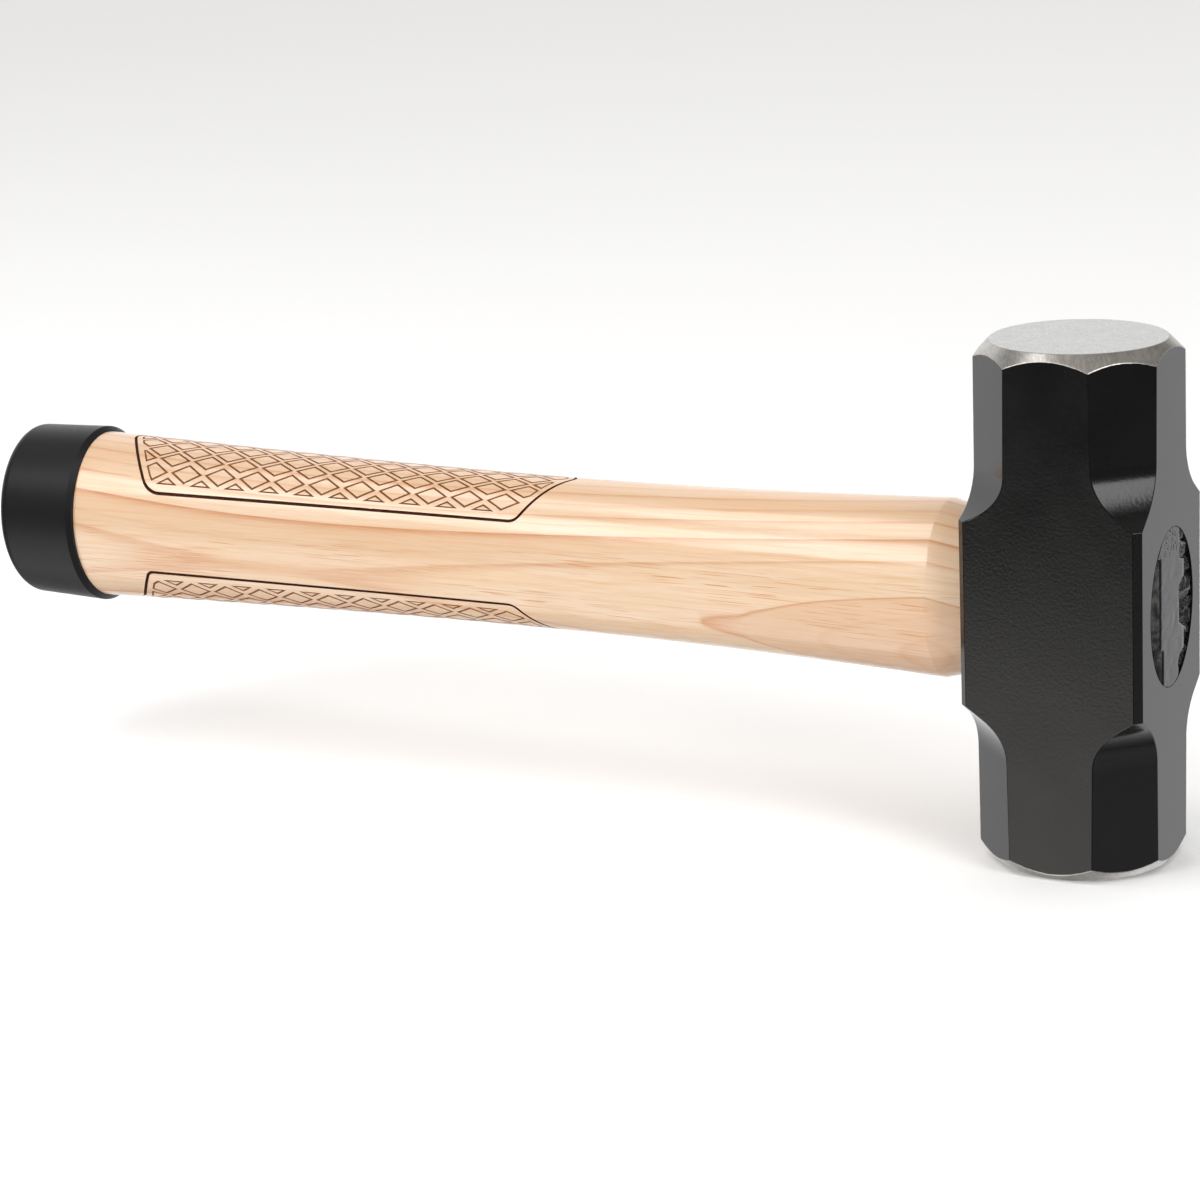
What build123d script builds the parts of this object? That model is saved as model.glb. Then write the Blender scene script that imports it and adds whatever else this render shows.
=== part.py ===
from build123d import *
import os
from math import radians, sqrt, tan

# A short-handled sledge hammer: a double-faced forged head hung on an oval ash handle.
#
# Frame: the origin is the centre of the lower striking face. +Z runs up the head's long
# axis, and +X runs along the handle from the grip to the wedged end of the eye.

# Head, in millimetres
HEAD_LENGTH = 120.0
HEAD_WIDTH = 42.5  # across the flats, both ways
FACE_RADIUS = 19.75  # flat striking face, inside its 45 degree bevel
FACE_CHAMFER = 11.6  # leg of the corner chamfers at the striking faces
SCOOP_CHAMFER = 11.1  # leg of the same chamfers where a scoop runs into them
CHEEK_CHAMFER = 1.6  # leg of the thin chamfer left beside the eye
EDGE_ROUND = 0.35
CORNER_REACH = 40.0  # larger than the head's half diagonal
CUT_SPARE = 3.0  # how far a cutter runs past the surface that it cuts

# Where each scoop leaves the cheek, above or below the handle's axis, its slope there
# measured from the head's axis in degrees, and the radius that blends it into the poll.
# The forging dies give the two sides of the eye slightly different scoops.
SCOOPS = {
    ("eye_side", "upper"): (21.8, 45.0, 16.0),
    ("eye_side", "lower"): (21.2, 46.0, 13.0),
    ("grip_side", "upper"): (21.5, 63.0, 11.5),
    ("grip_side", "lower"): (21.2, 46.0, 13.5),
}

# Eye, an oval bore that is tightest in the middle
EYE_HEIGHT = 36.5
EYE_WIDTH = 29.0
EYE_WAIST = 0.8  # how much narrower the bore is at its middle

# Handle. The section is an oval whose width is a fixed share of its height.
OVAL = 0.8
SHOULDER_X = -31.2
RIM_X = -264.4
BUTT_X = -287.0
BUTT_CHAMFER = 2.0
GRIP_HALF_HEIGHTS = [
    (RIM_X, 21.4),
    (-225.0, 20.2),
    (-180.0, 19.2),
    (-120.0, 18.7),
    (-70.0, 19.5),
    (SHOULDER_X, 20.9),
]

# Wedge, driven into a saw kerf that runs along the head's axis
WEDGE_LENGTH = 33.0
WEDGE_HEAD = 13.0  # thickness at the eye's mouth
WEDGE_TIP = 2.0
KERF_SPARE = 5.0  # how far the kerf runs past the wedge's tip
TENON_RECESS = 3.4  # from the eye's mouth down to the end of the wood
SEALER_DEPTH = 1.0

# Rubber cap over the butt
CAP_HALF_HEIGHT = 22.7
CAP_DRAFT = 0.7  # how much smaller its half height is at the closed end
CAP_OVAL = 0.832
CAP_END_X = -289.8
CAP_CROWN = 2.8
CAP_CORNER = 3.2
CAP_LIP = 1.2

MOUTH_X = HEAD_WIDTH / 2
AXIS_HEIGHT = HEAD_LENGTH / 2
ON_HANDLE_AXIS = Pos(0, 0, AXIS_HEIGHT)


def corner_depth(chamfer):
    """Distance from the head's axis to a corner chamfer with this leg."""
    return (HEAD_WIDTH - chamfer) / sqrt(2)


def corner_scoop(leaves_cheek, slope, blend_radius):
    """Cutter for an upper corner lying towards +X, along the corner's diagonal."""
    cheek = corner_depth(CHEEK_CHAMFER)
    wall = corner_depth(SCOOP_CHAMFER)
    run = (cheek - wall) / tan(radians(slope))
    top = HEAD_LENGTH / 2 + CUT_SPARE
    inner_edge = FilletPolyline(
        (cheek + CUT_SPARE, leaves_cheek - CUT_SPARE / tan(radians(slope))),
        (wall, leaves_cheek + run),
        (corner_depth(FACE_CHAMFER), top),
        radius=blend_radius,
    )
    outer_edge = Polyline(
        inner_edge @ 1,
        (CORNER_REACH, top),
        (CORNER_REACH, leaves_cheek - CUT_SPARE),
        inner_edge @ 0,
    )
    outline = make_face((inner_edge + outer_edge).edges())
    return extrude(Plane.XZ * outline, amount=CORNER_REACH / 2, both=True)


def oval(x, width, height):
    """An oval section across the handle."""
    return Plane.YZ.offset(x) * Ellipse(width / 2, height / 2)


def eye_bore():
    """The oval bore, from mouth to mouth, centred on the handle's axis."""
    grip_mouth = oval(-MOUTH_X, EYE_WIDTH, EYE_HEIGHT)
    waist = oval(0, EYE_WIDTH - EYE_WAIST, EYE_HEIGHT - EYE_WAIST)
    wedge_mouth = oval(MOUTH_X, EYE_WIDTH, EYE_HEIGHT)
    return loft([grip_mouth, waist], ruled=True) + loft([waist, wedge_mouth], ruled=True)


def wedge_blank(tip_extension=0.0):
    """The wedge before the eye's oval trims it, or the kerf that it is driven into."""
    tip_x = MOUTH_X - WEDGE_LENGTH
    half_head = WEDGE_HEAD / 2
    half_tip = WEDGE_TIP / 2
    taper = Polyline(
        (MOUTH_X, -half_head),
        (MOUTH_X, half_head),
        (tip_x, half_tip),
        (tip_x, -half_tip),
        close=True,
    )
    blank = extrude(make_face(taper.edges()), amount=EYE_HEIGHT, both=True)
    if tip_extension:
        slot = Box(tip_extension, WEDGE_TIP, 2 * EYE_HEIGHT, align=(Align.MAX, Align.CENTER, Align.CENTER))
        blank += Pos(tip_x, 0, 0) * slot
    return blank


def slab(low_x, high_x):
    """Everything between two planes across the handle."""
    block = Box(high_x - low_x, 2 * CORNER_REACH, 2 * CORNER_REACH)
    return Pos((low_x + high_x) / 2, 0, 0) * block


def oval_turning(outline, width_share):
    """A turned shape about the handle's axis, squeezed across to an oval."""
    return scale(revolve(outline, Axis.X), by=(1, width_share, 1))


def head():
    """The forging: a square bar, scooped to octagonal polls, with a bevel round each face."""
    body = Box(HEAD_WIDTH, HEAD_WIDTH, HEAD_LENGTH)
    body = chamfer(body.edges().filter_by(Axis.Z), CHEEK_CHAMFER)
    turns = {"eye_side": (45, -45), "grip_side": (135, -135)}
    for (side, end), (leaves_cheek, slope, blend_radius) in SCOOPS.items():
        cutter = corner_scoop(leaves_cheek, slope, blend_radius)
        if end == "lower":
            cutter = cutter.mirror(Plane.XY)
        for turn in turns[side]:
            body -= Rot(0, 0, turn) * cutter
    half = HEAD_LENGTH / 2
    bevel_run = CORNER_REACH - FACE_RADIUS
    bevelled = Polyline(
        (0, -half),
        (FACE_RADIUS, -half),
        (CORNER_REACH, bevel_run - half),
        (CORNER_REACH, half - bevel_run),
        (FACE_RADIUS, half),
        (0, half),
        close=True,
    )
    body &= revolve(Plane.XZ * make_face(bevelled.edges()), Axis.Z)
    body = fillet(body.edges(), EDGE_ROUND)
    return body - eye_bore()


def handle():
    """The handle: grip, shoulder, and the tenon that is wedged in the eye."""
    grip_top = Spline(*[(x, 0, z) for x, z in GRIP_HALF_HEIGHTS])
    butt_half = GRIP_HALF_HEIGHTS[0][1]
    ends = Polyline(
        grip_top @ 0,
        (BUTT_X + BUTT_CHAMFER, 0, butt_half),
        (BUTT_X, 0, butt_half - BUTT_CHAMFER),
        (BUTT_X, 0, 0),
        (SHOULDER_X, 0, 0),
        grip_top @ 1,
    )
    grip = oval_turning(make_face((grip_top + ends).edges()), OVAL)
    shoulder_height = 2 * GRIP_HALF_HEIGHTS[-1][1]
    shoulder_edge = oval(SHOULDER_X, OVAL * shoulder_height, shoulder_height)
    shoulder = loft([shoulder_edge, oval(-MOUTH_X, EYE_WIDTH, EYE_HEIGHT)], ruled=True)
    tenon = eye_bore() & slab(-MOUTH_X, MOUTH_X - TENON_RECESS)
    return grip + shoulder + (tenon - wedge_blank(KERF_SPARE))


def wooden_wedge():
    """The wedge, trimmed flush with the eye's mouth and its oval."""
    return wedge_blank() & eye_bore()


def eye_sealer():
    """Black lacquer pooled over the end of the wood, on each side of the wedge."""
    pool = eye_bore() & slab(MOUTH_X - TENON_RECESS, MOUTH_X - TENON_RECESS + SEALER_DEPTH)
    return pool - wedge_blank()


def end_cap():
    """The rubber cup that is pushed over the butt."""
    end_half = CAP_HALF_HEIGHT - CAP_DRAFT
    crown = ThreePointArc(
        (CAP_END_X, 0, 0),
        (CAP_END_X + CAP_CROWN / 4, 0, end_half / 2),
        (CAP_END_X + CAP_CROWN, 0, end_half),
    )
    rest = Polyline(
        crown @ 1,
        (RIM_X - CAP_LIP, 0, CAP_HALF_HEIGHT),
        (RIM_X, 0, CAP_HALF_HEIGHT - CAP_LIP),
        (RIM_X, 0, 0),
        crown @ 0,
    )
    outline = make_face((crown + rest).edges())
    corner = outline.vertices().sort_by_distance(crown @ 1)[0]
    outline = fillet(corner, CAP_CORNER)
    return oval_turning(outline, CAP_OVAL) - handle()


os.makedirs("parts", exist_ok=True)
for make_part in (head, handle, wooden_wedge, eye_sealer, end_cap):
    export_step(ON_HANDLE_AXIS * make_part(), f"parts/{make_part.__name__}.step")
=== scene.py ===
import math

import bpy
import numpy as np
from mathutils import Matrix, Vector, kdtree, noise
from mathutils.geometry import delaunay_2d_cdt


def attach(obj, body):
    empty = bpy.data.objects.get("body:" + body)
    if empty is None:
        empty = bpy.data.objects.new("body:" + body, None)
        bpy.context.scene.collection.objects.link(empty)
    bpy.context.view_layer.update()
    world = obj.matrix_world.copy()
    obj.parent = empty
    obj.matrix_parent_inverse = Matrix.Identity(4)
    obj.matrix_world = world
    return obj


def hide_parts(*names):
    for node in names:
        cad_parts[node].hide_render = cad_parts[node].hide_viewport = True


# A short-handled sledge hammer: black forged head, oval ash handle with two burned grip
# panels, a wooden wedge under black lacquer in the eye, and a rubber butt cap.
# Shapes are worked out in millimetres about the handle's axis and turned to metres at the end.

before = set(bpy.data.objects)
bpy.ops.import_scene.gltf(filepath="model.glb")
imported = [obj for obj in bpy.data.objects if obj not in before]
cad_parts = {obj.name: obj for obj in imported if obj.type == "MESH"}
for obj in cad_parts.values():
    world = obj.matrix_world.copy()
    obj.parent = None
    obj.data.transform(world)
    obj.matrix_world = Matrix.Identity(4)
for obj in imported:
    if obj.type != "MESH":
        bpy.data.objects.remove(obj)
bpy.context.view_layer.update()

MM = 0.001
AXIS_HEIGHT = 60.0  # the handle's axis above the lower striking face

# Handle. Its section is an oval whose width is a fixed share of its height.
OVAL = 0.8
BUTT_X = -287.0
BUTT_CHAMFER = 2.0
RIM_X = -264.4
SHOULDER_X = -31.2
SHOULDER_BREAK = 0.25  # the small round where the grip turns into the shoulder
HALF_HEIGHTS = [
    (RIM_X, 21.4),
    (-225.0, 20.2),
    (-180.0, 19.2),
    (-120.0, 18.7),
    (-70.0, 19.5),
    (SHOULDER_X, 20.9),
]

# Eye, kerf and wedge
MOUTH_X = 21.25
EYE_HALF_WIDTH = 14.5
EYE_HALF_HEIGHT = 18.25
EYE_WAIST = 0.4  # how much smaller each half is in the middle of the bore
TENON_END_X = 17.85
WEDGE_TIP_X = -11.75
KERF_END_X = -16.75
WEDGE_HALF_HEAD = 6.5
WEDGE_HALF_TIP = 1.0

# The mesh that the handle is built on: columns round it, and rings along it
COLUMNS = 160
KERF_COLUMNS = 2  # columns between the crest and each side of the kerf
FIRST_STATION = -264.0
STATION_STEP = 2.0
SHARP_ANGLE = 24.0  # degrees
PATCH_X = (-258.0, -126.0)
PATCH_COLUMNS = (12, 68)
PLAIN_SLOT, LINE_SLOT, BORDER_SLOT = range(3)

# Grip panels, laid out flat: x along the handle, s round it from the crest
PANEL_EDGE_HEIGHT = 10.4  # the long edges, above and below the handle's axis
PANEL_HALF = 17.2  # the distance that stands for crest to long edge in the flat layout
# The left tip, the left end of the long edges, their right end and the right tip. The two
# panels were burned freehand, so they differ.
PANEL_ENDS = {
    "upper": (-255.0, -242.7, -138.1, -127.3),
    "lower": (-256.0, -244.2, -139.6, -127.9),
}
PANEL_CORNER_RADII = {"upper": (6.5, 3.2), "lower": (2.5, 3.0)}
PANEL_TIP_RADIUS = 2.4
FLAT_RADIUS = 18.0  # turns an angle round the handle into a length while triangulating
BORDER_HALF = 0.37
BORDER_DEPTH = 0.42
LINE_HALF = 0.25
LINE_DEPTH = 0.28
PATTERN_INSET = 1.95
PATTERN_PITCH = 10.03
PATTERN_X = -142.35
DIAMOND_HALF_LENGTH = 4.15
TRIANGLE_HALF_LENGTH = 2.5
TRIANGLES = 10
# Rows by their share of the panel's half: the triangles' bases and tips, and then each row of
# diamonds as (middle, half height)
TRIANGLE_ROW = (0.872, 0.795)
DIAMOND_ROWS = [(0.711, 0.133), (0.497, 0.117), (0.33, 0.117), (0.165, 0.115), (0.0, 0.11)]
SMALLEST_FIGURE = 3.0  # square millimetres left of a figure that the border cuts off
SHORTEST_SIDE = 0.15  # shorter sides of a clipped figure are dropped
GROOVE_CLEARANCE = 0.55  # from a groove's lines to the nearest point of the plain grid


def to_metres(point):
    return (point[0] * MM, point[1] * MM, (point[2] + AXIS_HEIGHT) * MM)


def new_object(name, points, faces, materials, node, face_slots=None):
    """A mesh piece that stands for a CAD node. Points are in millimetres about the handle's axis."""
    mesh = bpy.data.meshes.new(name)
    mesh.from_pydata([to_metres(p) for p in points], [], faces)
    for material in materials:
        mesh.materials.append(material)
    if face_slots:
        mesh.polygons.foreach_set("material_index", face_slots)
    mesh.polygons.foreach_set("use_smooth", [True] * len(mesh.polygons))
    mesh.update()
    piece = bpy.data.objects.new(name, mesh)
    bpy.context.scene.collection.objects.link(piece)
    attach(piece, "root")
    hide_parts(node)
    return piece


# Node helpers ---------------------------------------------------------------------------


class Nodes:
    """Builds a node tree from short calls. A value may be a number, a tuple or a socket."""

    def __init__(self, tree):
        self.tree = tree

    def add(self, kind, values=None, **settings):
        node = self.tree.nodes.new(kind)
        for name, value in settings.items():
            setattr(node, name, value)
        for name, value in (values or {}).items():
            if isinstance(value, bpy.types.NodeSocket):
                self.tree.links.new(value, node.inputs[name])
            else:
                node.inputs[name].default_value = value
        return node

    def math(self, operation, *values):
        return self.add("ShaderNodeMath", dict(enumerate(values)), operation=operation).outputs[0]

    def vector(self, operation, *values):
        node = self.add("ShaderNodeVectorMath", dict(enumerate(values)), operation=operation)
        return node.outputs["Value" if operation in ("DOT_PRODUCT", "LENGTH") else "Vector"]

    def noise(self, vector, scale, detail=2.0, roughness=0.5):
        values = {"Vector": vector, "Scale": scale, "Detail": detail, "Roughness": roughness}
        return self.add("ShaderNodeTexNoise", values).outputs["Fac"]

    def remap(self, value, low, high, to_low=0.0, to_high=1.0, kind="SMOOTHSTEP"):
        values = {"Value": value, "From Min": low, "From Max": high, "To Min": to_low, "To Max": to_high}
        return self.add("ShaderNodeMapRange", values, interpolation_type=kind).outputs["Result"]

    def ramp(self, factor, stops):
        node = self.add("ShaderNodeValToRGB", {"Fac": factor})
        elements = node.color_ramp.elements
        while len(elements) > 1:
            elements.remove(elements[0])
        for index, (position, color) in enumerate(stops):
            element = elements[0] if index == 0 else elements.new(position)
            element.position = position
            element.color = (*color, 1.0) if isinstance(color, tuple) else (color, color, color, 1.0)
        return node.outputs["Color"]

    def blend(self, factor, first, second):
        """Between two plain values."""
        values = {0: factor, 2: first, 3: second}
        return self.add("ShaderNodeMix", values, data_type="FLOAT").outputs[0]

    def mix(self, factor, first, second, blend="MIX"):
        """Between two colours."""
        node = self.add("ShaderNodeMix", data_type="RGBA", blend_type=blend)
        for index, value in ((0, factor), (6, first), (7, second)):
            if isinstance(value, bpy.types.NodeSocket):
                self.tree.links.new(value, node.inputs[index])
            else:
                node.inputs[index].default_value = value if index == 0 else (*value, 1.0)
        return node.outputs[2]

    def bump(self, height, strength, distance):
        values = {"Height": height, "Strength": strength, "Distance": distance}
        return self.add("ShaderNodeBump", values).outputs["Normal"]


def new_material(name, build, **uniform):
    """A Principled material. build(nodes, coordinates) returns the sockets that vary."""
    material = bpy.data.materials.new(name)
    material.use_nodes = True
    tree = material.node_tree
    tree.nodes.clear()
    nodes = Nodes(tree)
    shader = nodes.add("ShaderNodeBsdfPrincipled", uniform)
    output = nodes.add("ShaderNodeOutputMaterial")
    tree.links.new(shader.outputs[0], output.inputs["Surface"])
    coordinates = nodes.add("ShaderNodeTexCoord").outputs["Object"]
    for socket, value in build(nodes, coordinates).items():
        tree.links.new(value, shader.inputs[socket])
    return material


# Materials ------------------------------------------------------------------------------

PALE = (0.725, 0.515, 0.33)
CREAM = (0.755, 0.595, 0.44)
TAN = (0.62, 0.35, 0.155)
HEARTWOOD = (0.615, 0.37, 0.22)
GRAIN_LINE = (0.50, 0.17, 0.04)
PORE = (0.55, 0.20, 0.045)

# Growth rings by their distance from the tree's pith, in mm: (distance, strength, fade)
RINGS = [
    (31.5, 0.60, 1.6),
    (35.0, 0.50, 1.4),
    (38.9, 0.95, 0.6),
    (43.4, 0.35, 1.2),
    (46.8, 0.80, 1.5),
    (48.6, 0.50, 0.8),
    (51.9, 1.00, 2.2),
    (54.3, 0.50, 0.8),
    (56.4, 0.85, 1.8),
    (59.6, 0.70, 1.6),
    (62.9, 0.80, 1.8),
    (66.0, 0.65, 1.5),
    (69.4, 0.85, 2.0),
    (72.6, 0.70, 1.6),
]
RING_SPAN = (28.0, 80.0)
CORE_RINGS = 4  # the innermost rings, which draw the pointed heartwood figure near the head
LINE_END = (-0.14, 0.08)  # a line is strongest just short of its distance and gone just past it

# How much heartwood there is in the wood's tone, by distance from the pith
TONES = [
    (28.0, 0.9),
    (38.6, 0.85),
    (39.1, 0.12),
    (45.0, 0.10),
    (50.0, 0.55),
    (52.0, 0.2),
    (55.0, 0.35),
    (60.0, 0.6),
    (72.0, 0.4),
]

# The pith is a straight line beside the handle: its place at x = -140 mm, and its change over
# each 100 mm along the handle. The rings widen and narrow by a taper along it.
GRAIN_START = 1.4
PITH_Y = (-55.0, 19.2)
PITH_Z = (-23.7, -3.7)
RING_TAPER = (9.13, -4.7)
RING_WANDER = 0.45
SHOULDER_KINK = 0.2  # how far the lines turn where the shoulder cuts through the rings
SECTION_SIZE = 20.0  # the radius of the round section that the fibres' noise is wrapped on


def ring_position(distance):
    """Where a distance from the pith falls on a ramp."""
    return (distance - RING_SPAN[0]) / (RING_SPAN[1] - RING_SPAN[0])


def core_shift(nodes, x):
    """Moves the innermost rings along the handle so that they meet in a point."""
    opening = nodes.remap(x, -0.0885, -0.0785, -0.55, 0.40, "LINEAR")
    closing = nodes.remap(x, -0.072, -0.056, 0.0, 0.40)
    return nodes.math("SUBTRACT", opening, closing)


def ring_lines(nodes, where, rings):
    """Late wood: each line builds up over its fade and then stops sharply."""
    stops = [(0.0, 0.0)]
    for distance, strength, fade in rings:
        stops.append((ring_position(distance - fade), 0.0))
        stops.append((ring_position(distance + LINE_END[0]), strength))
        stops.append((ring_position(distance + LINE_END[1]), 0.0))
    return nodes.math("POWER", nodes.ramp(where, stops), 2.2)


def along_line(nodes, along, line):
    """A value that changes evenly along the handle."""
    return nodes.math("MULTIPLY_ADD", along, line[1], line[0])


def ring_distance(nodes, place, along, across, height):
    """The distance from the pith in mm, with the taper and a slow wander."""
    pith_y = nodes.math("SUBTRACT", across, along_line(nodes, along, PITH_Y))
    pith_z = nodes.math("SUBTRACT", height, along_line(nodes, along, PITH_Z))
    from_pith = nodes.add("ShaderNodeCombineXYZ", {"Y": pith_y, "Z": pith_z})
    radius = nodes.vector("LENGTH", from_pith.outputs["Vector"])
    taper = nodes.math("MULTIPLY", along, along_line(nodes, along, RING_TAPER))
    wander = nodes.noise(nodes.vector("MULTIPLY", place, (9.0, 26.0, 26.0)), 1.0, 2.0)
    wander = nodes.remap(wander, 0.0, 1.0, -RING_WANDER, RING_WANDER, "LINEAR")
    ring = nodes.math("ADD", nodes.math("ADD", radius, taper), wander)
    millimetres = nodes.math("MULTIPLY", nodes.math("SUBTRACT", along, GRAIN_START), 100.0)
    past_shoulder = nodes.math("MAXIMUM", nodes.math("SUBTRACT", millimetres, SHOULDER_X), 0.0)
    return nodes.math("MULTIPLY_ADD", past_shoulder, SHOULDER_KINK, ring)


def fibre_layers(nodes, along, across, height):
    """Noise drawn out along the fibres: broad bands, streaks, fine grain and open pores."""
    section = nodes.add("ShaderNodeCombineXYZ", {"Y": nodes.math("DIVIDE", across, OVAL), "Z": height})
    section = nodes.vector("NORMALIZE", section.outputs["Vector"])
    section = nodes.vector("MULTIPLY", section, (SECTION_SIZE,) * 3)
    lengthways = nodes.add("ShaderNodeCombineXYZ", {"X": along}).outputs["Vector"]
    place = nodes.vector("ADD", section, lengthways)

    def stretched(scales, detail, roughness=0.5):
        return nodes.noise(nodes.vector("MULTIPLY", place, scales), 1.0, detail, roughness)

    broad = stretched((2.2, 0.10, 0.16), 3.0, 0.55)
    streaks = stretched((2.2, 1.3, 1.3), 4.0, 0.65)
    fine = stretched((9.0, 5.0, 5.0), 3.0, 0.65)
    dashes = nodes.remap(stretched((8.0, 4.0, 4.0), 0.0), 0.635, 0.69)
    groups = nodes.remap(stretched((2.6, 0.07, 0.13), 1.0), 0.40, 0.58, 0.25, 1.0)
    above_foot = nodes.remap(height, -17.0, -9.0, 0.3, 1.0)
    below_crest = nodes.remap(height, 1.0, 6.0, 1.0, 0.15)
    porous = nodes.math("MULTIPLY", above_foot, below_crest)
    pores = nodes.math("MULTIPLY", nodes.math("MULTIPLY", dashes, groups), porous)
    return broad, streaks, fine, pores


def wood_layers(nodes, place):
    """The figure of the wood: (colour, fibre height, pores) at a place in metres."""
    axes = nodes.add("ShaderNodeSeparateXYZ", {"Vector": place})
    along = nodes.math("MULTIPLY_ADD", axes.outputs["X"], 10.0, GRAIN_START)
    across = nodes.math("MULTIPLY", axes.outputs["Y"], 1000.0)
    height = nodes.math("MULTIPLY_ADD", axes.outputs["Z"], 1000.0, -AXIS_HEIGHT)

    ring = ring_distance(nodes, place, along, across, height)
    shifted = nodes.math("ADD", ring, core_shift(nodes, axes.outputs["X"]))
    core = nodes.remap(shifted, *RING_SPAN, kind="LINEAR")
    outer = nodes.remap(ring, *RING_SPAN, kind="LINEAR")
    core_lines = ring_lines(nodes, core, RINGS[:CORE_RINGS])
    outer_lines = ring_lines(nodes, outer, RINGS[CORE_RINGS:])
    lines = nodes.math("MAXIMUM", core_lines, outer_lines)
    tone = nodes.ramp(core, [(ring_position(distance), share) for distance, share in TONES])
    broad, streaks, fine, pores = fibre_layers(nodes, along, across, height)

    color = nodes.mix(nodes.remap(broad, 0.25, 0.75), PALE, CREAM)
    color = nodes.mix(nodes.math("MULTIPLY", tone, 0.75), color, HEARTWOOD)
    color = nodes.mix(nodes.remap(streaks, 0.47, 0.76, 0.0, 0.55), color, TAN)
    broken = nodes.remap(fine, 0.25, 0.60, 0.45, 1.0)
    color = nodes.mix(nodes.math("MULTIPLY", lines, broken), color, GRAIN_LINE)
    color = nodes.mix(nodes.remap(fine, 0.35, 0.75, 0.0, 0.26), color, TAN)
    color = nodes.mix(nodes.math("MULTIPLY", pores, 0.70), color, PORE)
    return color, fine, pores


def lacquered_wood(nodes, place):
    color, fine, pores = wood_layers(nodes, place)
    ripple = nodes.noise(nodes.vector("MULTIPLY", place, (90.0, 520.0, 520.0)), 1.0, 3.0, 0.6)
    grain = nodes.math("SUBTRACT", fine, nodes.math("MULTIPLY", pores, 1.5))
    return {
        "Base Color": color,
        "Roughness": nodes.remap(fine, 0.3, 0.7, 0.38, 0.56),
        "Normal": nodes.bump(grain, 0.25, 0.00006),
        "Coat Normal": nodes.bump(ripple, 0.6, 0.00009),
    }


LINE_CHAR = [
    (0.30, (0.10, 0.027, 0.006)),
    (0.55, (0.19, 0.055, 0.012)),
    (0.75, (0.34, 0.115, 0.030)),
]
BORDER_CHAR = [
    (0.30, (0.034, 0.009, 0.004)),
    (0.60, (0.070, 0.018, 0.007)),
    (0.80, (0.14, 0.040, 0.012)),
]


def burned_wood(nodes, place):
    color, _, _ = wood_layers(nodes, place)
    soot = nodes.noise(place, 900.0, 3.0, 0.6)
    return {
        "Base Color": nodes.mix(0.12, nodes.ramp(soot, LINE_CHAR), color),
        "Normal": nodes.bump(soot, 0.6, 0.0001),
    }


def burned_border(nodes, place):
    soot = nodes.noise(place, 700.0, 3.0, 0.6)
    return {"Base Color": nodes.ramp(soot, BORDER_CHAR), "Normal": nodes.bump(soot, 0.6, 0.0001)}


STEEL_RADIUS = 79.62  # the bevel's cone, radius plus height from the head's middle, in mm
STEEL_HEIGHT = 59.96


def turned_streaks(nodes, place):
    """Brushed streaks that climb across the bevels at a slant."""
    turn = nodes.add("ShaderNodeVectorRotate", {"Vector": place, "Angle": 0.5}, rotation_type="Y_AXIS")
    stretched = nodes.vector("MULTIPLY", turn.outputs["Vector"], (2400.0, 900.0, 300.0))
    streaks = nodes.noise(stretched, 1.0, 3.0, 0.65)
    cloud = nodes.noise(place, 160.0, 2.0)
    return nodes.remap(nodes.math("MULTIPLY_ADD", cloud, 0.8, streaks), 0.62, 1.18)


def ground_areas(nodes, place):
    """(steel, face): 1 on all the ground steel, and 1 on the striking faces only."""
    axes = nodes.add("ShaderNodeSeparateXYZ", {"Vector": place})
    flat = nodes.vector("LENGTH", nodes.vector("MULTIPLY", place, (1000.0, 1000.0, 0.0)))
    height = nodes.math("MULTIPLY_ADD", axes.outputs["Z"], 1000.0, -AXIS_HEIGHT)
    height = nodes.math("ABSOLUTE", height)
    uneven = nodes.remap(nodes.noise(place, 1500.0, 2.0), 0.3, 0.7, -0.05, 0.05, "LINEAR")
    cone = nodes.math("ADD", nodes.math("ADD", flat, height), uneven)
    bevel = nodes.math("GREATER_THAN", cone, STEEL_RADIUS)
    face = nodes.math("GREATER_THAN", height, STEEL_HEIGHT)
    return nodes.math("MAXIMUM", bevel, face), face


def crossed_scratches(nodes, place):
    """Straight scratches across the striking faces, in four directions."""
    scratches = 0.0
    for angle in (0.25, 1.1, 1.9, 2.7):
        values = {"Vector": place, "Angle": angle}
        turn = nodes.add("ShaderNodeVectorRotate", values, rotation_type="Z_AXIS")
        stretched = nodes.vector("MULTIPLY", turn.outputs["Vector"], (140.0, 3600.0, 600.0))
        layer = nodes.remap(nodes.noise(stretched, 1.0, 2.0, 0.6), 0.50, 0.72)
        scratches = nodes.math("MAXIMUM", scratches, layer)
    return scratches


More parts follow.
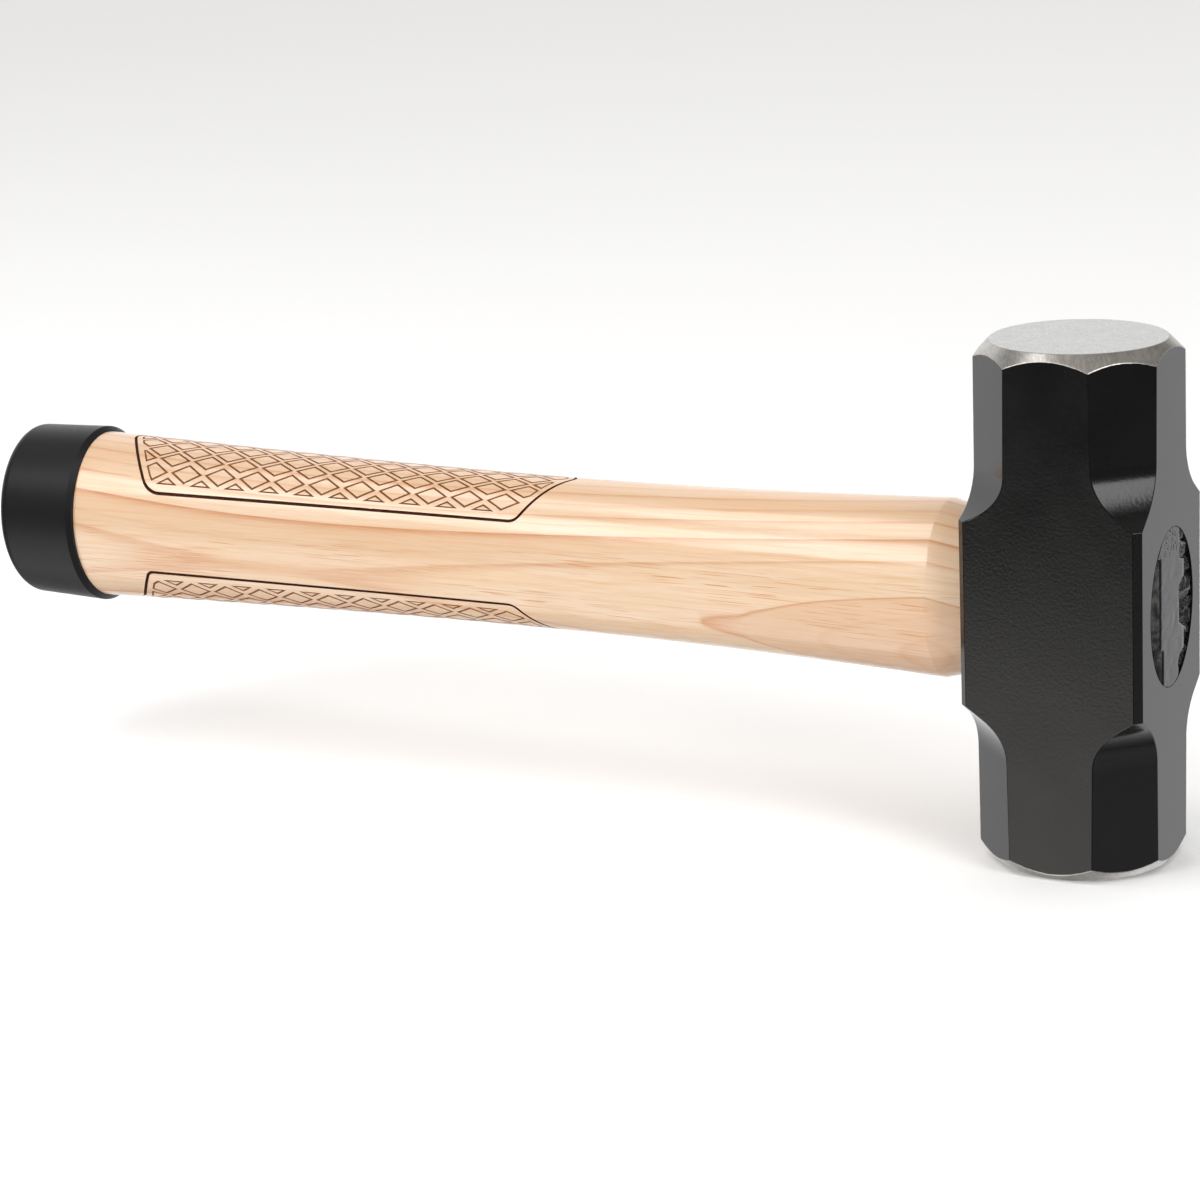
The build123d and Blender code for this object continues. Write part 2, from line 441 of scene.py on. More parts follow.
def forged_head(nodes, place):
    """Black lacquer over the forging, ground away on the striking faces and their bevels."""
    steel, face = ground_areas(nodes, place)
    turned = nodes.noise(nodes.vector("MULTIPLY", place, (900.0, 900.0, 12000.0)), 1.0, 2.0)
    marks = nodes.blend(face, turned, crossed_scratches(nodes, place))
    face_color = nodes.mix(marks, (0.50, 0.50, 0.49), (0.76, 0.76, 0.74))
    bevel_color = nodes.mix(turned_streaks(nodes, place), (0.32, 0.306, 0.287), (0.52, 0.50, 0.47))
    steel_color = nodes.mix(face, bevel_color, face_color)
    steel_rough = nodes.math("MULTIPLY_ADD", face, 0.12, nodes.remap(marks, 0.0, 1.0, 0.26, 0.36))

    cloud = nodes.noise(place, 60.0, 3.0)
    brushed = nodes.noise(nodes.vector("MULTIPLY", place, (1500.0, 1500.0, 45.0)), 1.0, 2.0)
    peel = nodes.math("MULTIPLY_ADD", brushed, 0.6, nodes.noise(place, 1400.0, 2.0))
    speck = nodes.remap(nodes.noise(place, 2600.0, 1.0), 0.70, 0.78)
    paint = nodes.mix(cloud, (0.0035, 0.0035, 0.0036), (0.0060, 0.0059, 0.0057))
    paint_rough = nodes.math("MULTIPLY_ADD", speck, 0.15, nodes.remap(cloud, 0.3, 0.7, 0.11, 0.16))
    return {
        "Base Color": nodes.mix(steel, paint, steel_color),
        "Metallic": nodes.math("MULTIPLY", steel, 0.9),
        "Roughness": nodes.blend(steel, paint_rough, steel_rough),
        "Normal": nodes.bump(nodes.blend(steel, peel, marks), 0.35, 0.00003),
    }


def cap_rubber(nodes, place):
    cloud = nodes.noise(place, 45.0, 3.0)
    skin = nodes.noise(place, 2200.0, 3.0, 0.6)
    return {
        "Base Color": nodes.mix(cloud, (0.0068, 0.0071, 0.0080), (0.0110, 0.0112, 0.0122)),
        "Roughness": nodes.remap(skin, 0.3, 0.7, 0.34, 0.46),
        "Normal": nodes.bump(skin, 0.25, 0.00005),
    }


# Heights and places in the eye, in metres
FLUSH_X = 0.02095  # the wedge's paint starts here, just inside the eye's mouth
TORN_TOP = (0.0715, 0.0735)
DULL_TOP = (0.0688, 0.0694)


def wedge_paint(nodes, place):
    """Black paint over end grain, sanded flush with the head. The torn sides are bare and rough."""
    axes = nodes.add("ShaderNodeSeparateXYZ", {"Vector": place})
    flush = nodes.math("GREATER_THAN", axes.outputs["X"], FLUSH_X)
    end_grain = nodes.noise(nodes.vector("MULTIPLY", place, (300.0, 1500.0, 500.0)), 1.0, 2.0, 0.5)
    spots = nodes.noise(place, 1100.0, 2.0, 0.6)
    torn_top = nodes.remap(axes.outputs["Z"], *TORN_TOP)
    torn = nodes.math("MULTIPLY", nodes.remap(spots, 0.57, 0.64), torn_top)
    pits = nodes.math("ADD", nodes.remap(spots, 0.66, 0.72, 0.0, 0.5), torn)
    splinters = nodes.noise(nodes.vector("MULTIPLY", place, (500.0, 900.0, 420.0)), 1.0, 4.0, 0.65)
    bare = nodes.mix(nodes.remap(splinters, 0.35, 0.68), (0.036, 0.035, 0.034), (0.185, 0.178, 0.170))
    painted = nodes.mix(pits, (0.012, 0.012, 0.012), (0.003, 0.003, 0.003))
    smooth = nodes.math("MULTIPLY_ADD", pits, 0.3, nodes.remap(end_grain, 0.3, 0.7, 0.16, 0.24))
    sanded = nodes.math("SUBTRACT", nodes.math("MULTIPLY", end_grain, 0.12), pits)
    return {
        "Base Color": nodes.mix(flush, bare, painted),
        "Roughness": nodes.blend(flush, 0.6, smooth),
        "Normal": nodes.bump(nodes.blend(flush, splinters, sanded), 0.6, 0.00015),
    }


def black_lacquer(nodes, place):
    """Lacquer that ran over torn wood: glossy below, dull and grey at the top of the eye."""
    axes = nodes.add("ShaderNodeSeparateXYZ", {"Vector": place})
    dull = nodes.remap(axes.outputs["Z"], *DULL_TOP)
    lumps = nodes.noise(place, 520.0, 3.0, 0.6)
    chips = nodes.noise(place, 2200.0, 2.0, 0.6)
    glossy = nodes.mix(lumps, (0.004, 0.004, 0.004), (0.016, 0.015, 0.014))
    matte = nodes.mix(chips, (0.030, 0.028, 0.026), (0.085, 0.080, 0.074))
    shine = nodes.remap(chips, 0.3, 0.7, 0.10, 0.34)
    return {
        "Base Color": nodes.mix(dull, glossy, matte),
        "Roughness": nodes.math("MAXIMUM", shine, nodes.math("MULTIPLY", dull, 0.55)),
        "Normal": nodes.bump(nodes.math("MULTIPLY_ADD", chips, 0.45, lumps), 0.9, 0.0005),
    }


WOOD_COAT = {"Coat Weight": 0.9, "Coat Roughness": 0.13, "Coat IOR": 1.5}
WOOD = new_material("lacquered_ash", lacquered_wood, **WOOD_COAT)
BURN = new_material("burned_line", burned_wood, **{"Roughness": 0.8, "Specular IOR Level": 0.25})
BORDER = new_material("burned_border", burned_border, **{"Roughness": 0.8, "Specular IOR Level": 0.2})
HEAD = new_material("black_forging", forged_head, **{"IOR": 1.5})
RUBBER = new_material("cap_rubber", cap_rubber, **{"IOR": 1.45, "Specular IOR Level": 0.32})
WEDGE = new_material("painted_wedge", wedge_paint, **{"IOR": 1.5})
LACQUER = new_material("pooled_lacquer", black_lacquer, **{"Coat Weight": 0.6, "Coat Roughness": 0.08})

# The handle -----------------------------------------------------------------------------

PROFILE = np.polyfit([x / 100 for x, _ in HALF_HEIGHTS], [h for _, h in HALF_HEIGHTS], 5)
SLOPE = np.polyder(PROFILE)


def half_height(x):
    return float(np.polyval(PROFILE, max(x, RIM_X) / 100))


def grip_point(x, theta, depth=0.0):
    """A point of the grip. theta is 0 at the front and 90 degrees at the crest."""
    half = half_height(x)
    point = Vector((x, -OVAL * half * math.cos(theta), half * math.sin(theta)))
    return point - depth * grip_normal(x, theta) if depth else point


def grip_normal(x, theta):
    half = half_height(x)
    slope = float(np.polyval(SLOPE, x / 100)) / 100
    normal = Vector((-OVAL * half * slope, -half * math.cos(theta), OVAL * half * math.sin(theta)))
    return normal.normalized()


def edge_theta(x):
    """The angle of a panel's long edge, which runs parallel to the handle's axis."""
    return math.asin(PANEL_EDGE_HEIGHT / half_height(x))


def flat_to_theta(x, s):
    return math.pi / 2 - (s / PANEL_HALF) * (math.pi / 2 - edge_theta(x))


def rounded(corners, radii, step=0.8):
    """A closed polygon with its corners turned to arcs."""
    outline = []
    count = len(corners)
    for index, corner in enumerate(corners):
        corner = Vector(corner)
        before = (Vector(corners[index - 1]) - corner).normalized()
        after = (Vector(corners[(index + 1) % count]) - corner).normalized()
        half_angle = before.angle(after) / 2
        radius = radii[index]
        reach = radius / math.tan(half_angle)
        centre = corner + (before + after).normalized() * (radius / math.sin(half_angle))
        start = corner + before * reach - centre
        sweep = math.pi - 2 * half_angle
        turn = 1 if before.x * after.y - before.y * after.x < 0 else -1
        steps = max(3, math.ceil(radius * sweep / step))
        for k in range(steps + 1):
            angle = turn * sweep * k / steps
            spin = Matrix.Rotation(angle, 2)
            outline.append(centre + spin @ start)
    return outline


def divided(loop, pattern, step=1.1):
    """The loop with points added on its sides, as many as the pattern's sides are long enough for."""
    dense = []
    for index, point in enumerate(loop):
        following = (index + 1) % len(loop)
        pieces = max(1, round((pattern[following] - pattern[index]).length / step))
        dense += [point.lerp(loop[following], k / pieces) for k in range(pieces)]
    return dense


def inward(loop, distance):
    """An anticlockwise loop moved inwards by a distance, or outwards if it is negative."""
    moved = []
    for index, point in enumerate(loop):
        before = (point - loop[index - 1]).normalized()
        after = (loop[(index + 1) % len(loop)] - point).normalized()
        normal = Vector((-before.y - after.y, before.x + after.x))
        normal.normalize()
        lean = max(0.35, normal.dot(Vector((-after.y, after.x))))
        moved.append(point + normal * distance / lean)
    return moved


def clipped(polygon, region):
    """The part of a convex polygon inside a convex anticlockwise region."""
    for index, start in enumerate(region):
        side = (region[(index + 1) % len(region)] - start).normalized()
        normal = Vector((-side.y, side.x))
        kept = []
        for k, point in enumerate(polygon):
            following = polygon[(k + 1) % len(polygon)]
            here = (point - start).dot(normal)
            there = (following - start).dot(normal)
            if here >= 0:
                kept.append(point)
            if here * there < 0:
                kept.append(point.lerp(following, here / (here - there)))
        polygon = kept
        if len(polygon) < 3:
            return []
    return [p for k, p in enumerate(polygon) if (p - polygon[k - 1]).length > SHORTEST_SIDE]


def area(loop):
    return sum(loop[k - 1].x * p.y - p.x * loop[k - 1].y for k, p in enumerate(loop)) / 2


def panel_outline(panel):
    """A panel's pointed outline in the flat layout, anticlockwise."""
    left_tip, left_end, right_end, right_tip = PANEL_ENDS[panel]
    corners = [
        (left_tip, 0.0),
        (left_end, -PANEL_HALF),
        (right_end, -PANEL_HALF),
        (right_tip, 0.0),
        (right_end, PANEL_HALF),
        (left_end, PANEL_HALF),
    ]
    left, right = PANEL_CORNER_RADII[panel]
    return rounded(corners, [PANEL_TIP_RADIUS, left, right, PANEL_TIP_RADIUS, right, left])


def diamond(x, s, reach):
    return [
        Vector((x - DIAMOND_HALF_LENGTH, s)),
        Vector((x, s - reach)),
        Vector((x + DIAMOND_HALF_LENGTH, s)),
        Vector((x, s + reach)),
    ]


def diamond_row(row, side, first_x):
    """A row of diamonds from the panel's head end to its butt end. Every other row is staggered."""
    middle, half = DIAMOND_ROWS[row]
    x = PATTERN_X + (PATTERN_PITCH / 2 if row % 2 else 0.0) + PATTERN_PITCH
    figures = []
    while x > first_x:
        figures.append(diamond(x, side * middle * PANEL_HALF, half * PANEL_HALF))
        x -= PATTERN_PITCH
    return figures


def triangle_row(side):
    """The triangles along a long edge, pointing towards the crest."""
    base, tip = (side * level * PANEL_HALF for level in TRIANGLE_ROW)
    figures = []
    for k in range(TRIANGLES):
        x = PATTERN_X - PATTERN_PITCH * (k + 0.5)
        corners = [(x - TRIANGLE_HALF_LENGTH, base), (x, tip), (x + TRIANGLE_HALF_LENGTH, base)]
        figures.append([Vector(corner) for corner in corners[::side]])
    return figures


def pattern_loops(outline):
    """The diamonds and triangles of a panel, clipped to its border."""
    first_x = min(point.x for point in outline) - PATTERN_PITCH
    figures = []
    for side in (1, -1):
        for row, (middle, _) in enumerate(DIAMOND_ROWS):
            if side > 0 or middle > 0.0:
                figures += diamond_row(row, side, first_x)
        figures += triangle_row(side)
    region = inward(outline, PATTERN_INSET)
    loops = [clipped(figure, region) for figure in figures]
    return [loop for loop in loops if len(loop) > 2 and abs(area(loop)) > SMALLEST_FIGURE]


def panel_rails(panel):
    """The lines that a panel's grooves are built on, as (points, depth, slot)."""
    outline = panel_outline(panel)
    border = divided(outline, outline)
    rails = []
    for share, depth in ((-1, 0), (-0.5, BORDER_DEPTH), (0.5, BORDER_DEPTH), (1, 0)):
        rails.append((inward(border, share * BORDER_HALF), depth, BORDER_SLOT))
    for loop in pattern_loops(outline):
        for offset, depth in ((-LINE_HALF, 0), (0, LINE_DEPTH), (LINE_HALF, 0)):
            rails.append((divided(inward(loop, offset), loop), depth, LINE_SLOT))
    return rails


def plain_grid(rail_points):
    """The handle's own grid over a patch, without the points that crowd a groove."""
    near = kdtree.KDTree(len(rail_points))
    for index, point in enumerate(rail_points):
        near.insert((*point, 0.0), index)
    near.balance()
    stations = np.arange(PATCH_X[0], PATCH_X[1] + 0.1, STATION_STEP)
    grid = []
    for x in stations:
        for column in range(PATCH_COLUMNS[0], PATCH_COLUMNS[1] + 1):
            point = Vector((float(x), 2 * math.pi * column / COLUMNS * FLAT_RADIUS))
            edge = x in (stations[0], stations[-1]) or column in PATCH_COLUMNS
            if edge or near.find((*point, 0.0))[2] > GROOVE_CLEARANCE:
                grid.append(point)
    return grid


def panel_mesh(panel):
    """A panel's patch of the handle's upper side: points, their normals, triangles and their slots."""
    coords, depths, tags, edges = [], [], [], []
    for rail, depth, slot in panel_rails(panel):
        start, count = len(coords), len(rail)
        coords += [Vector((p.x, flat_to_theta(p.x, p.y) * FLAT_RADIUS)) for p in rail]
        depths += [depth] * count
        tags += [slot if depth else PLAIN_SLOT] * count
        edges += [(start + k, start + (k + 1) % count) for k in range(count)]
    grid = plain_grid(coords)
    coords += grid
    depths += [0] * len(grid)
    tags += [PLAIN_SLOT] * len(grid)

    flat, _, triangles, origins, _, _ = delaunay_2d_cdt(coords, edges, [], 0, 1e-5)
    points, normals, marks = [], [], []
    for place, origin in zip(flat, origins):
        theta = place.y / FLAT_RADIUS
        points.append(grip_point(place.x, theta, depths[origin[0]] if origin else 0))
        normals.append(grip_normal(place.x, theta))
        marks.append(tags[origin[0]] if origin else PLAIN_SLOT)
    slots = [max(marks[v] for v in triangle) for triangle in triangles]
    return points, normals, [tuple(t) for t in triangles], slots


def eye_half(x):
    """Half the eye's width and height at a distance along its bore."""
    waist = EYE_WAIST * (1 - min(1.0, abs(x) / MOUTH_X))
    return EYE_HALF_WIDTH - waist, EYE_HALF_HEIGHT - waist


def kerf_half(x):
    """Half the kerf's width."""
    run = (x - WEDGE_TIP_X) / (MOUTH_X - WEDGE_TIP_X)
    return WEDGE_HALF_TIP + (WEDGE_HALF_HEAD - WEDGE_HALF_TIP) * max(0.0, run)


class Shell:
    """Points and faces of a mesh under construction."""

    def __init__(self):
        self.points, self.normals, self.faces, self.slots = [], [], [], []

    def ring(self, points, normals=None):
        start = len(self.points)
        self.points += points
        self.normals += normals or [None] * len(points)
        return list(range(start, start + len(points)))

    def face(self, corners, slot=0):
        self.faces.append(tuple(corners))
        self.slots.append(slot)

    def bridge(self, first, second, closed=True, skip=()):
        count = len(first)
        for k in range(count if closed else count - 1):
            if k not in skip:
                j = (k + 1) % count
                self.face((first[k], second[k], second[j], first[j]))


def grip_ring(shell, x, shrink=0.0, smooth=True):
    angles = [2 * math.pi * k / COLUMNS for k in range(COLUMNS)]
    points = [grip_point(x, t) for t in angles]
    if shrink:
        half = half_height(x)
        points = [Vector((p.x, p.y * (1 - shrink / half), p.z * (1 - shrink / half))) for p in points]
    return shell.ring(points, [grip_normal(x, t) for t in angles] if smooth else None)


def slotted_angle(theta, limit):
    """Moves a column's angle so that KERF_COLUMNS of them fit in the kerf, beyond the limit angle."""
    quarter = COLUMNS // 4
    turn = math.remainder(theta, math.pi)
    gap = quarter - abs(round(turn / (2 * math.pi) * COLUMNS))
    if gap >= KERF_COLUMNS:
        plain_limit = 2 * math.pi * (quarter - KERF_COLUMNS) / COLUMNS
        return theta + turn * (limit / plain_limit - 1)
    lean = math.pi / 2 - abs(turn)
    kerf_edge = math.pi / 2 - limit
    return theta + math.copysign(lean - kerf_edge * gap / KERF_COLUMNS, turn)


def oval_ring(shell, x, half_width, height, half_slot=None):
    """A ring across the tenon. With a slot, its columns make room for the kerf."""
    angles = [2 * math.pi * k / COLUMNS for k in range(COLUMNS)]
    if half_slot:
        limit = math.acos(half_slot / half_width)
        angles = [slotted_angle(theta, limit) for theta in angles]
    return shell.ring([Vector((x, -half_width * math.cos(t), height * math.sin(t))) for t in angles])


def add_grip(shell):
    """The butt and the grip, open where the panels' patches go. Returns the shoulder's ring."""
    butt = grip_ring(shell, BUTT_X, BUTT_CHAMFER, smooth=False)
    shell.face(butt)
    chamfered = grip_ring(shell, BUTT_X + BUTT_CHAMFER, smooth=False)
    shell.bridge(butt, chamfered)
    previous = grip_ring(shell, RIM_X)
    shell.bridge(chamfered, previous)
    low, high = PATCH_COLUMNS
    covered = set(range(low, high)) | set(range(COLUMNS - high, COLUMNS - low))
    for x in np.arange(FIRST_STATION, SHOULDER_X - 1.0, STATION_STEP):
        ring = grip_ring(shell, float(x))
        shell.bridge(previous, ring, skip=covered if PATCH_X[0] < x <= PATCH_X[1] else ())
        previous = ring
    edge = grip_ring(shell, SHOULDER_X - SHOULDER_BREAK)
    shell.bridge(previous, edge)
    return edge


def add_shoulder(shell, previous):
    """The cone from the grip down to the eye. Returns the ring at the eye's mouth."""
    half = half_height(SHOULDER_X)
    mouth_width, mouth_height = eye_half(-MOUTH_X)
    run = -MOUTH_X - SHOULDER_X
    for share in (SHOULDER_BREAK / run, 0.35, 0.7, 1.0):
        width = OVAL * half + (mouth_width - OVAL * half) * share
        height = half + (mouth_height - half) * share
        ring = oval_ring(shell, SHOULDER_X + run * share, width, height)
        shell.bridge(previous, ring)
        previous = ring
    return previous


def add_tenon(shell, mouth):
    """The tenon in the eye. The kerf splits it into two prongs."""
    slotted = oval_ring(shell, KERF_END_X, *eye_half(KERF_END_X), kerf_half(KERF_END_X))
    shell.bridge(mouth, slotted)
    quarter = COLUMNS // 4
    crest = list(range(quarter - KERF_COLUMNS, quarter + KERF_COLUMNS + 1))
    foot = [COLUMNS - k for k in crest]
    shell.bridge([slotted[k] for k in foot], [slotted[k] for k in crest], closed=False)
    reach = quarter - KERF_COLUMNS
    for middle in (0, COLUMNS // 2):
        columns = [(middle + k) % COLUMNS for k in range(-reach, reach + 1)]
        section = [slotted[k] for k in columns]
        for x in (WEDGE_TIP_X, 0.0, TENON_END_X):
            ring = oval_ring(shell, x, *eye_half(x), kerf_half(x))
            following = [ring[k] for k in columns]
            shell.bridge(section, following)
            section = following
        shell.face(section[::-1])


def add_panels(shell):
    for panel, mirror in (("upper", 1), ("lower", -1)):
        points, normals, triangles, slots = panel_mesh(panel)
        start = len(shell.points)
        shell.points += [Vector((p.x, p.y, mirror * p.z)) for p in points]
        shell.normals += [Vector((n.x, n.y, mirror * n.z)) for n in normals]
        for triangle, slot in zip(triangles, slots):
            shell.face([start + v for v in triangle[::mirror]], slot)


def build_handle():
    shell = Shell()
    edge = add_grip(shell)
    mouth = add_shoulder(shell, edge)
    add_tenon(shell, mouth)
    add_panels(shell)
    finish_shell(shell)


def finish_shell(shell):
    """Drops unused points, welds the patches in, and makes the handle's object."""
    welded, keep = {}, []
    for index, point in enumerate(shell.points):
        key = tuple(round(c, 3) for c in point)
        keep.append(welded.setdefault(key, index))
    faces = [tuple(keep[v] for v in face) for face in shell.faces]
    used = sorted({v for face in faces for v in face})
    place = {v: k for k, v in enumerate(used)}
    faces = [tuple(place[v] for v in face) for face in faces]
    points = [shell.points[v] for v in used]
    materials = [WOOD, BURN, BORDER]
    handle = new_object("ash_handle", points, faces, materials, "handle", shell.slots)
    set_normals(handle.data, [shell.normals[v] for v in used])


def set_normals(mesh, known):
    """The exact normals on the plain wood, flat facets in the grooves, and automatic ones elsewhere."""
    mesh.set_sharp_from_angle(angle=math.radians(SHARP_ANGLE))
    automatic = (0.0, 0.0, 0.0)
    loops = []
    for polygon in mesh.polygons:
        exact = all(known[v] for v in polygon.vertices)
        for v in polygon.vertices:
            if polygon.material_index != PLAIN_SLOT:
                loops.append(tuple(polygon.normal))
            else:
                loops.append(tuple(known[v]) if exact else automatic)
    mesh.normals_split_custom_set(loops)


# The eye's filling ------------------------------------------------------------------------


def block(counts, place):
    """The skin of a mapped cube: place(u, v, w) gives a point for values from 0 to 1."""
    points, faces, seen = [], [], {}

    def index(i, j, k):
        if (i, j, k) not in seen:
            seen[i, j, k] = len(points)
            points.append(place(i / counts[0], j / counts[1], k / counts[2]))
        return seen[i, j, k]

    for axis in range(3):
        a, b = [n for n in range(3) if n != axis]
        for end in (0, counts[axis]):
            for i in range(counts[a]):
                for j in range(counts[b]):
                    corners = []
                    for da, db in ((0, 0), (1, 0), (1, 1), (0, 1)):
                        cell = [0, 0, 0]
                        cell[axis], cell[a], cell[b] = end, i + da, j + db
                        corners.append(index(*cell))
                    flip = (end == 0) != (axis == 1)
                    faces.append(tuple(corners[::-1] if flip else corners))
    return points, faces


def ragged(a, b, seed):
    """Smooth noise from about -1 to 1."""
    return noise.noise(Vector((a, b, 17.3 * seed)))


# The wedge's sides at the mouth, as (height, half width). The wood beside it split away, and
# at the top of the near side it is still flush out to the eye's edge.
NEAR_SIDE = [(-18.3, 5.9), (-8.7, 5.9), (-8.1, 7.6), (13.0, 7.6), (13.5, 20.0), (18.3, 20.0)]
FAR_SIDE = [
    (-18.3, 4.4),
    (-12.6, 4.8),
    (-11.4, 8.2),
    (-6.6, 8.4),
    (-4.9, 5.0),
    (3.7, 4.7),
    (5.2, 8.4),
    (9.0, 8.4),
    (9.8, 5.6),
    (18.3, 5.6),
]
WEDGE_GAP = 0.12  # the thin dark line round the flush wood
WEDGE_ARC = math.radians(176)  # how much of the eye's oval the wedge's outline follows
WEDGE_RECESS = 0.04  # from the eye's mouth to the paint
PAINT_DIPS = 0.12
# The wedge's rings. It steps from the kerf's width to the split wood's at the tenon's end.
WEDGE_STATIONS = [WEDGE_TIP_X, 0.0, 10.0, TENON_END_X, TENON_END_X + 0.01]
WEDGE_STATIONS += [18.8, 19.8, 20.6, 21.0, MOUTH_X - WEDGE_RECESS]

POOL_STEP = 0.1  # how finely a pocket is searched for its ends
NARROWEST_POOL = 0.3
POOL_CLEARANCE = 0.02
LACQUER_DEPTHS = (0.12, 3.2)


def wedge_wall(z, side):
    """The wedge's half width at the mouth."""
    heights, widths = zip(*(FAR_SIDE if side > 0 else NEAR_SIDE))
    return float(np.interp(z, heights, widths)) + 0.16 * ragged(z * 0.9, side, 3.0)


def build_wedge():
    def place(u, v, w):
        x = WEDGE_STATIONS[round(w * (len(WEDGE_STATIONS) - 1))]
        lean = 2 * u - 1
        width, height = eye_half(x)
        turn = (v - 0.5) * WEDGE_ARC
        z = (height - WEDGE_GAP) * math.sin(turn)
        wall = kerf_half(x) if x <= TENON_END_X else wedge_wall(z, math.copysign(1, lean))
        y = lean * min(wall, (width - WEDGE_GAP) * math.cos(turn))
        if w == 1.0:
            x -= PAINT_DIPS * max(0.0, ragged(y * 0.5, z * 0.4, 2.0))
        return Vector((x, y, z))

    points, faces = block((14, 130, len(WEDGE_STATIONS) - 1), place)
    new_object("painted_wedge", points, faces, [WEDGE], "wooden_wedge")


def pocket_gap(z, side):
    """How wide the pocket beside the wedge is at a height."""
    width, height = eye_half(TENON_END_X)
    return width * math.sqrt(max(0.0, 1 - (z / height) ** 2)) - wedge_wall(z, side)


def lacquer_depth(y, z, u, side):
    """How deep the lacquer lies. On the far side it climbs the wall of the bore."""
    depth = 0.7 + 0.6 * ragged(y * 0.55, z * 0.35, side) + 0.5 * ragged(y * 1.7, z * 1.2, 4.0)
    if side > 0:
        depth += (2.1 + 1.3 * ragged(y * 0.8, z * 0.5, 6.0)) * u
    thinnest, deepest = LACQUER_DEPTHS
    return min(deepest, max(thinnest, depth))


def build_pool(side):
    """The points and faces of the lacquer on one side of the wedge."""
    _, height = eye_half(TENON_END_X)
    levels = np.arange(-height, height, POOL_STEP)
    open_levels = [z for z in levels if pocket_gap(z, side) > NARROWEST_POOL]
    low, high = open_levels[0], open_levels[-1]

    def place(u, v, w):
        z = low + (high - low) * v
        gap = pocket_gap(z, side) - 2 * POOL_CLEARANCE
        y = wedge_wall(z, side) + POOL_CLEARANCE + gap * u
        return Vector((TENON_END_X + w * lacquer_depth(y, z, u, side), side * y, z))

    points, faces = block((14, 120, 2), place)
    return points, faces if side > 0 else [face[::-1] for face in faces]


def build_sealer():
    points, faces = [], []
    for side in (-1, 1):
        start = len(points)
        pool_points, pool_faces = build_pool(side)
        points += pool_points
        faces += [tuple(start + v for v in face) for face in pool_faces]
    new_object("eye_lacquer", points, faces, [LACQUER], "eye_sealer")


build_handle()
build_wedge()
build_sealer()
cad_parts["head"].material_slots[0].material = HEAD
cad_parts["end_cap"].material_slots[0].material = RUBBER

# Floor, light and camera ------------------------------------------------------------------

FLOOR_SIZE = 14.0
AIM = (-0.06, 0.0, 0.06)  # the place that the soft boxes face

# Soft boxes: (name, direction, distance, width, height, strength, seen in reflections)
SOFT_BOXES = [
    ("key_left", (-0.42, -0.72, 0.55), 1.3, 0.90, 0.42, 5.6, True),
    ("fill_right", (0.81, -0.39, 0.50), 1.2, 0.42, 0.95, 4.3, True),
    ("top", (-0.43, -0.24, 0.87), 1.4, 0.46, 0.40, 4.6, True),
    ("sky", (0.0, 0.25, 1.0), 3.2, 10.0, 10.0, 0.62, False),
    ("front", (-0.1, -1.0, 0.25), 2.0, 2.4, 1.4, 0.78, False),
]


def build_floor():
    half = FLOOR_SIZE / 2
    mesh = bpy.data.meshes.new("floor")
    corners = [(-half, -half, 0), (half, -half, 0), (half, half, 0), (-half, half, 0)]
    mesh.from_pydata(corners, [], [(0, 1, 2, 3)])
    floor = bpy.data.objects.new("floor", mesh)
    bpy.context.scene.collection.objects.link(floor)

    def matte(nodes, place):
        tone = nodes.noise(place, 3.0, 1.0)
        return {"Base Color": nodes.mix(tone, (0.93, 0.93, 0.93), (0.95, 0.95, 0.95))}

    uniform = {"Roughness": 0.9, "Specular IOR Level": 0.0}
    mesh.materials.append(new_material("pale_floor", matte, **uniform))
    floor.visible_glossy = False


def soft_box(name, towards, distance, width, height, strength, reflected):
    """An area light out along a direction from the hammer, facing it."""
    direction = Vector(towards).normalized()
    light = bpy.data.lights.new(name, "AREA")
    light.shape = "RECTANGLE"
    light.size = width
    light.size_y = height
    light.energy = strength * width * height * math.pi
    lamp = bpy.data.objects.new(name, light)
    lamp.visible_glossy = reflected
    lamp.location = Vector(AIM) + direction * distance
    lamp.rotation_euler = direction.to_track_quat("Z", "Y").to_euler()
    bpy.context.scene.collection.objects.link(lamp)


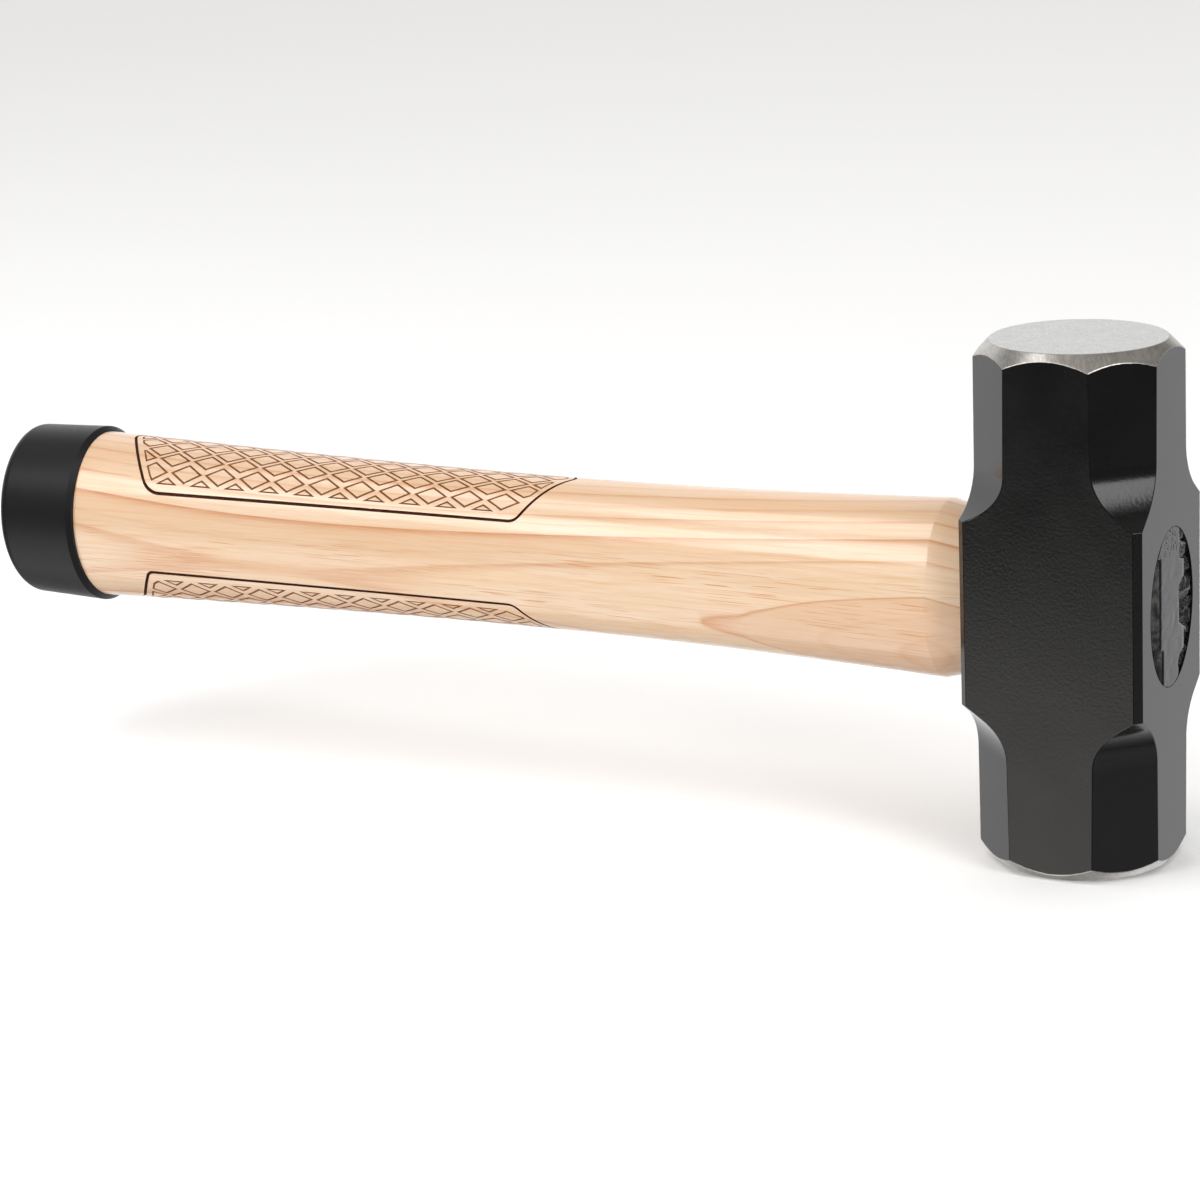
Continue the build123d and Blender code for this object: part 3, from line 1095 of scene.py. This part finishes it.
# World light by direction: (direction, cosine where it starts, cosine where it is full, colour)
GLOWS = [
    ((0.35, 0.80, -0.50), 0.70, 0.92, (0.79, 0.79, 0.81)),  # behind right, low: the eye's side
    ((-0.65, 0.75, 0.10), 0.55, 0.92, (1.08, 1.08, 1.09)),  # behind left: the top face
    ((0.30, 0.70, 0.65), 0.60, 0.95, (0.24, 0.23, 0.21)),  # high at the back: the bevel's right end
    ((0.05, -0.30, 0.95), 0.80, 0.97, (0.44, 0.42, 0.39)),  # overhead: the bevel's front
    ((-0.33, -0.60, -0.73), 0.831, 0.876, (1.50, 1.46, 1.41)),  # front left, low: the cheek
    ((0.80, -0.25, -0.60), 0.90, 0.98, (0.28, 0.28, 0.28)),  # right, low: the lower right chamfer
    ((-0.20, 0.20, -0.96), 0.60, 0.90, (0.38, 0.38, 0.38)),  # below: the lower bevel
]
WORLD_BASE = (0.07, 0.07, 0.07)


def build_world():
    world = bpy.data.worlds.new("studio")
    bpy.context.scene.world = world
    world.use_nodes = True
    tree = world.node_tree
    tree.nodes.clear()
    nodes = Nodes(tree)
    direction = nodes.add("ShaderNodeTexCoord").outputs["Generated"]
    color = WORLD_BASE
    for towards, start, full, glow in GLOWS:
        unit = tuple(Vector(towards).normalized())
        amount = nodes.remap(nodes.vector("DOT_PRODUCT", direction, unit), start, full)
        color = nodes.mix(amount, color, glow, "ADD")
    background = nodes.add("ShaderNodeBackground", {"Color": color, "Strength": 1.0})
    output = nodes.add("ShaderNodeOutputWorld")
    tree.links.new(background.outputs[0], output.inputs["Surface"])


CAMERA_PLACE = (0.26445, -0.71985, 0.27353)
CAMERA_AZIMUTH = 28.26
CAMERA_ELEVATION = 15.36
CAMERA_ROLL = 2.68
CAMERA_LENS = 105.38


def build_camera():
    azimuth, elevation, roll = (math.radians(a) for a in (CAMERA_AZIMUTH, CAMERA_ELEVATION, CAMERA_ROLL))
    flat = math.cos(elevation)
    ahead = Vector((-math.sin(azimuth) * flat, math.cos(azimuth) * flat, -math.sin(elevation)))
    level = Vector((math.cos(azimuth), math.sin(azimuth), 0.0))
    under = ahead.cross(level)
    right = math.cos(roll) * level + math.sin(roll) * under
    up = math.sin(roll) * level - math.cos(roll) * under
    turn = Matrix((right, up, -ahead)).transposed().to_4x4()
    data = bpy.data.cameras.new("camera")
    data.lens = CAMERA_LENS
    data.sensor_width = 36.0
    data.clip_start = 0.01
    camera = bpy.data.objects.new("camera", data)
    camera.matrix_world = Matrix.Translation(CAMERA_PLACE) @ turn
    bpy.context.scene.collection.objects.link(camera)
    bpy.context.scene.camera = camera


build_floor()
build_world()
for settings in SOFT_BOXES:
    soft_box(*settings)
build_camera()
bpy.context.scene.view_settings.view_transform = "Standard"
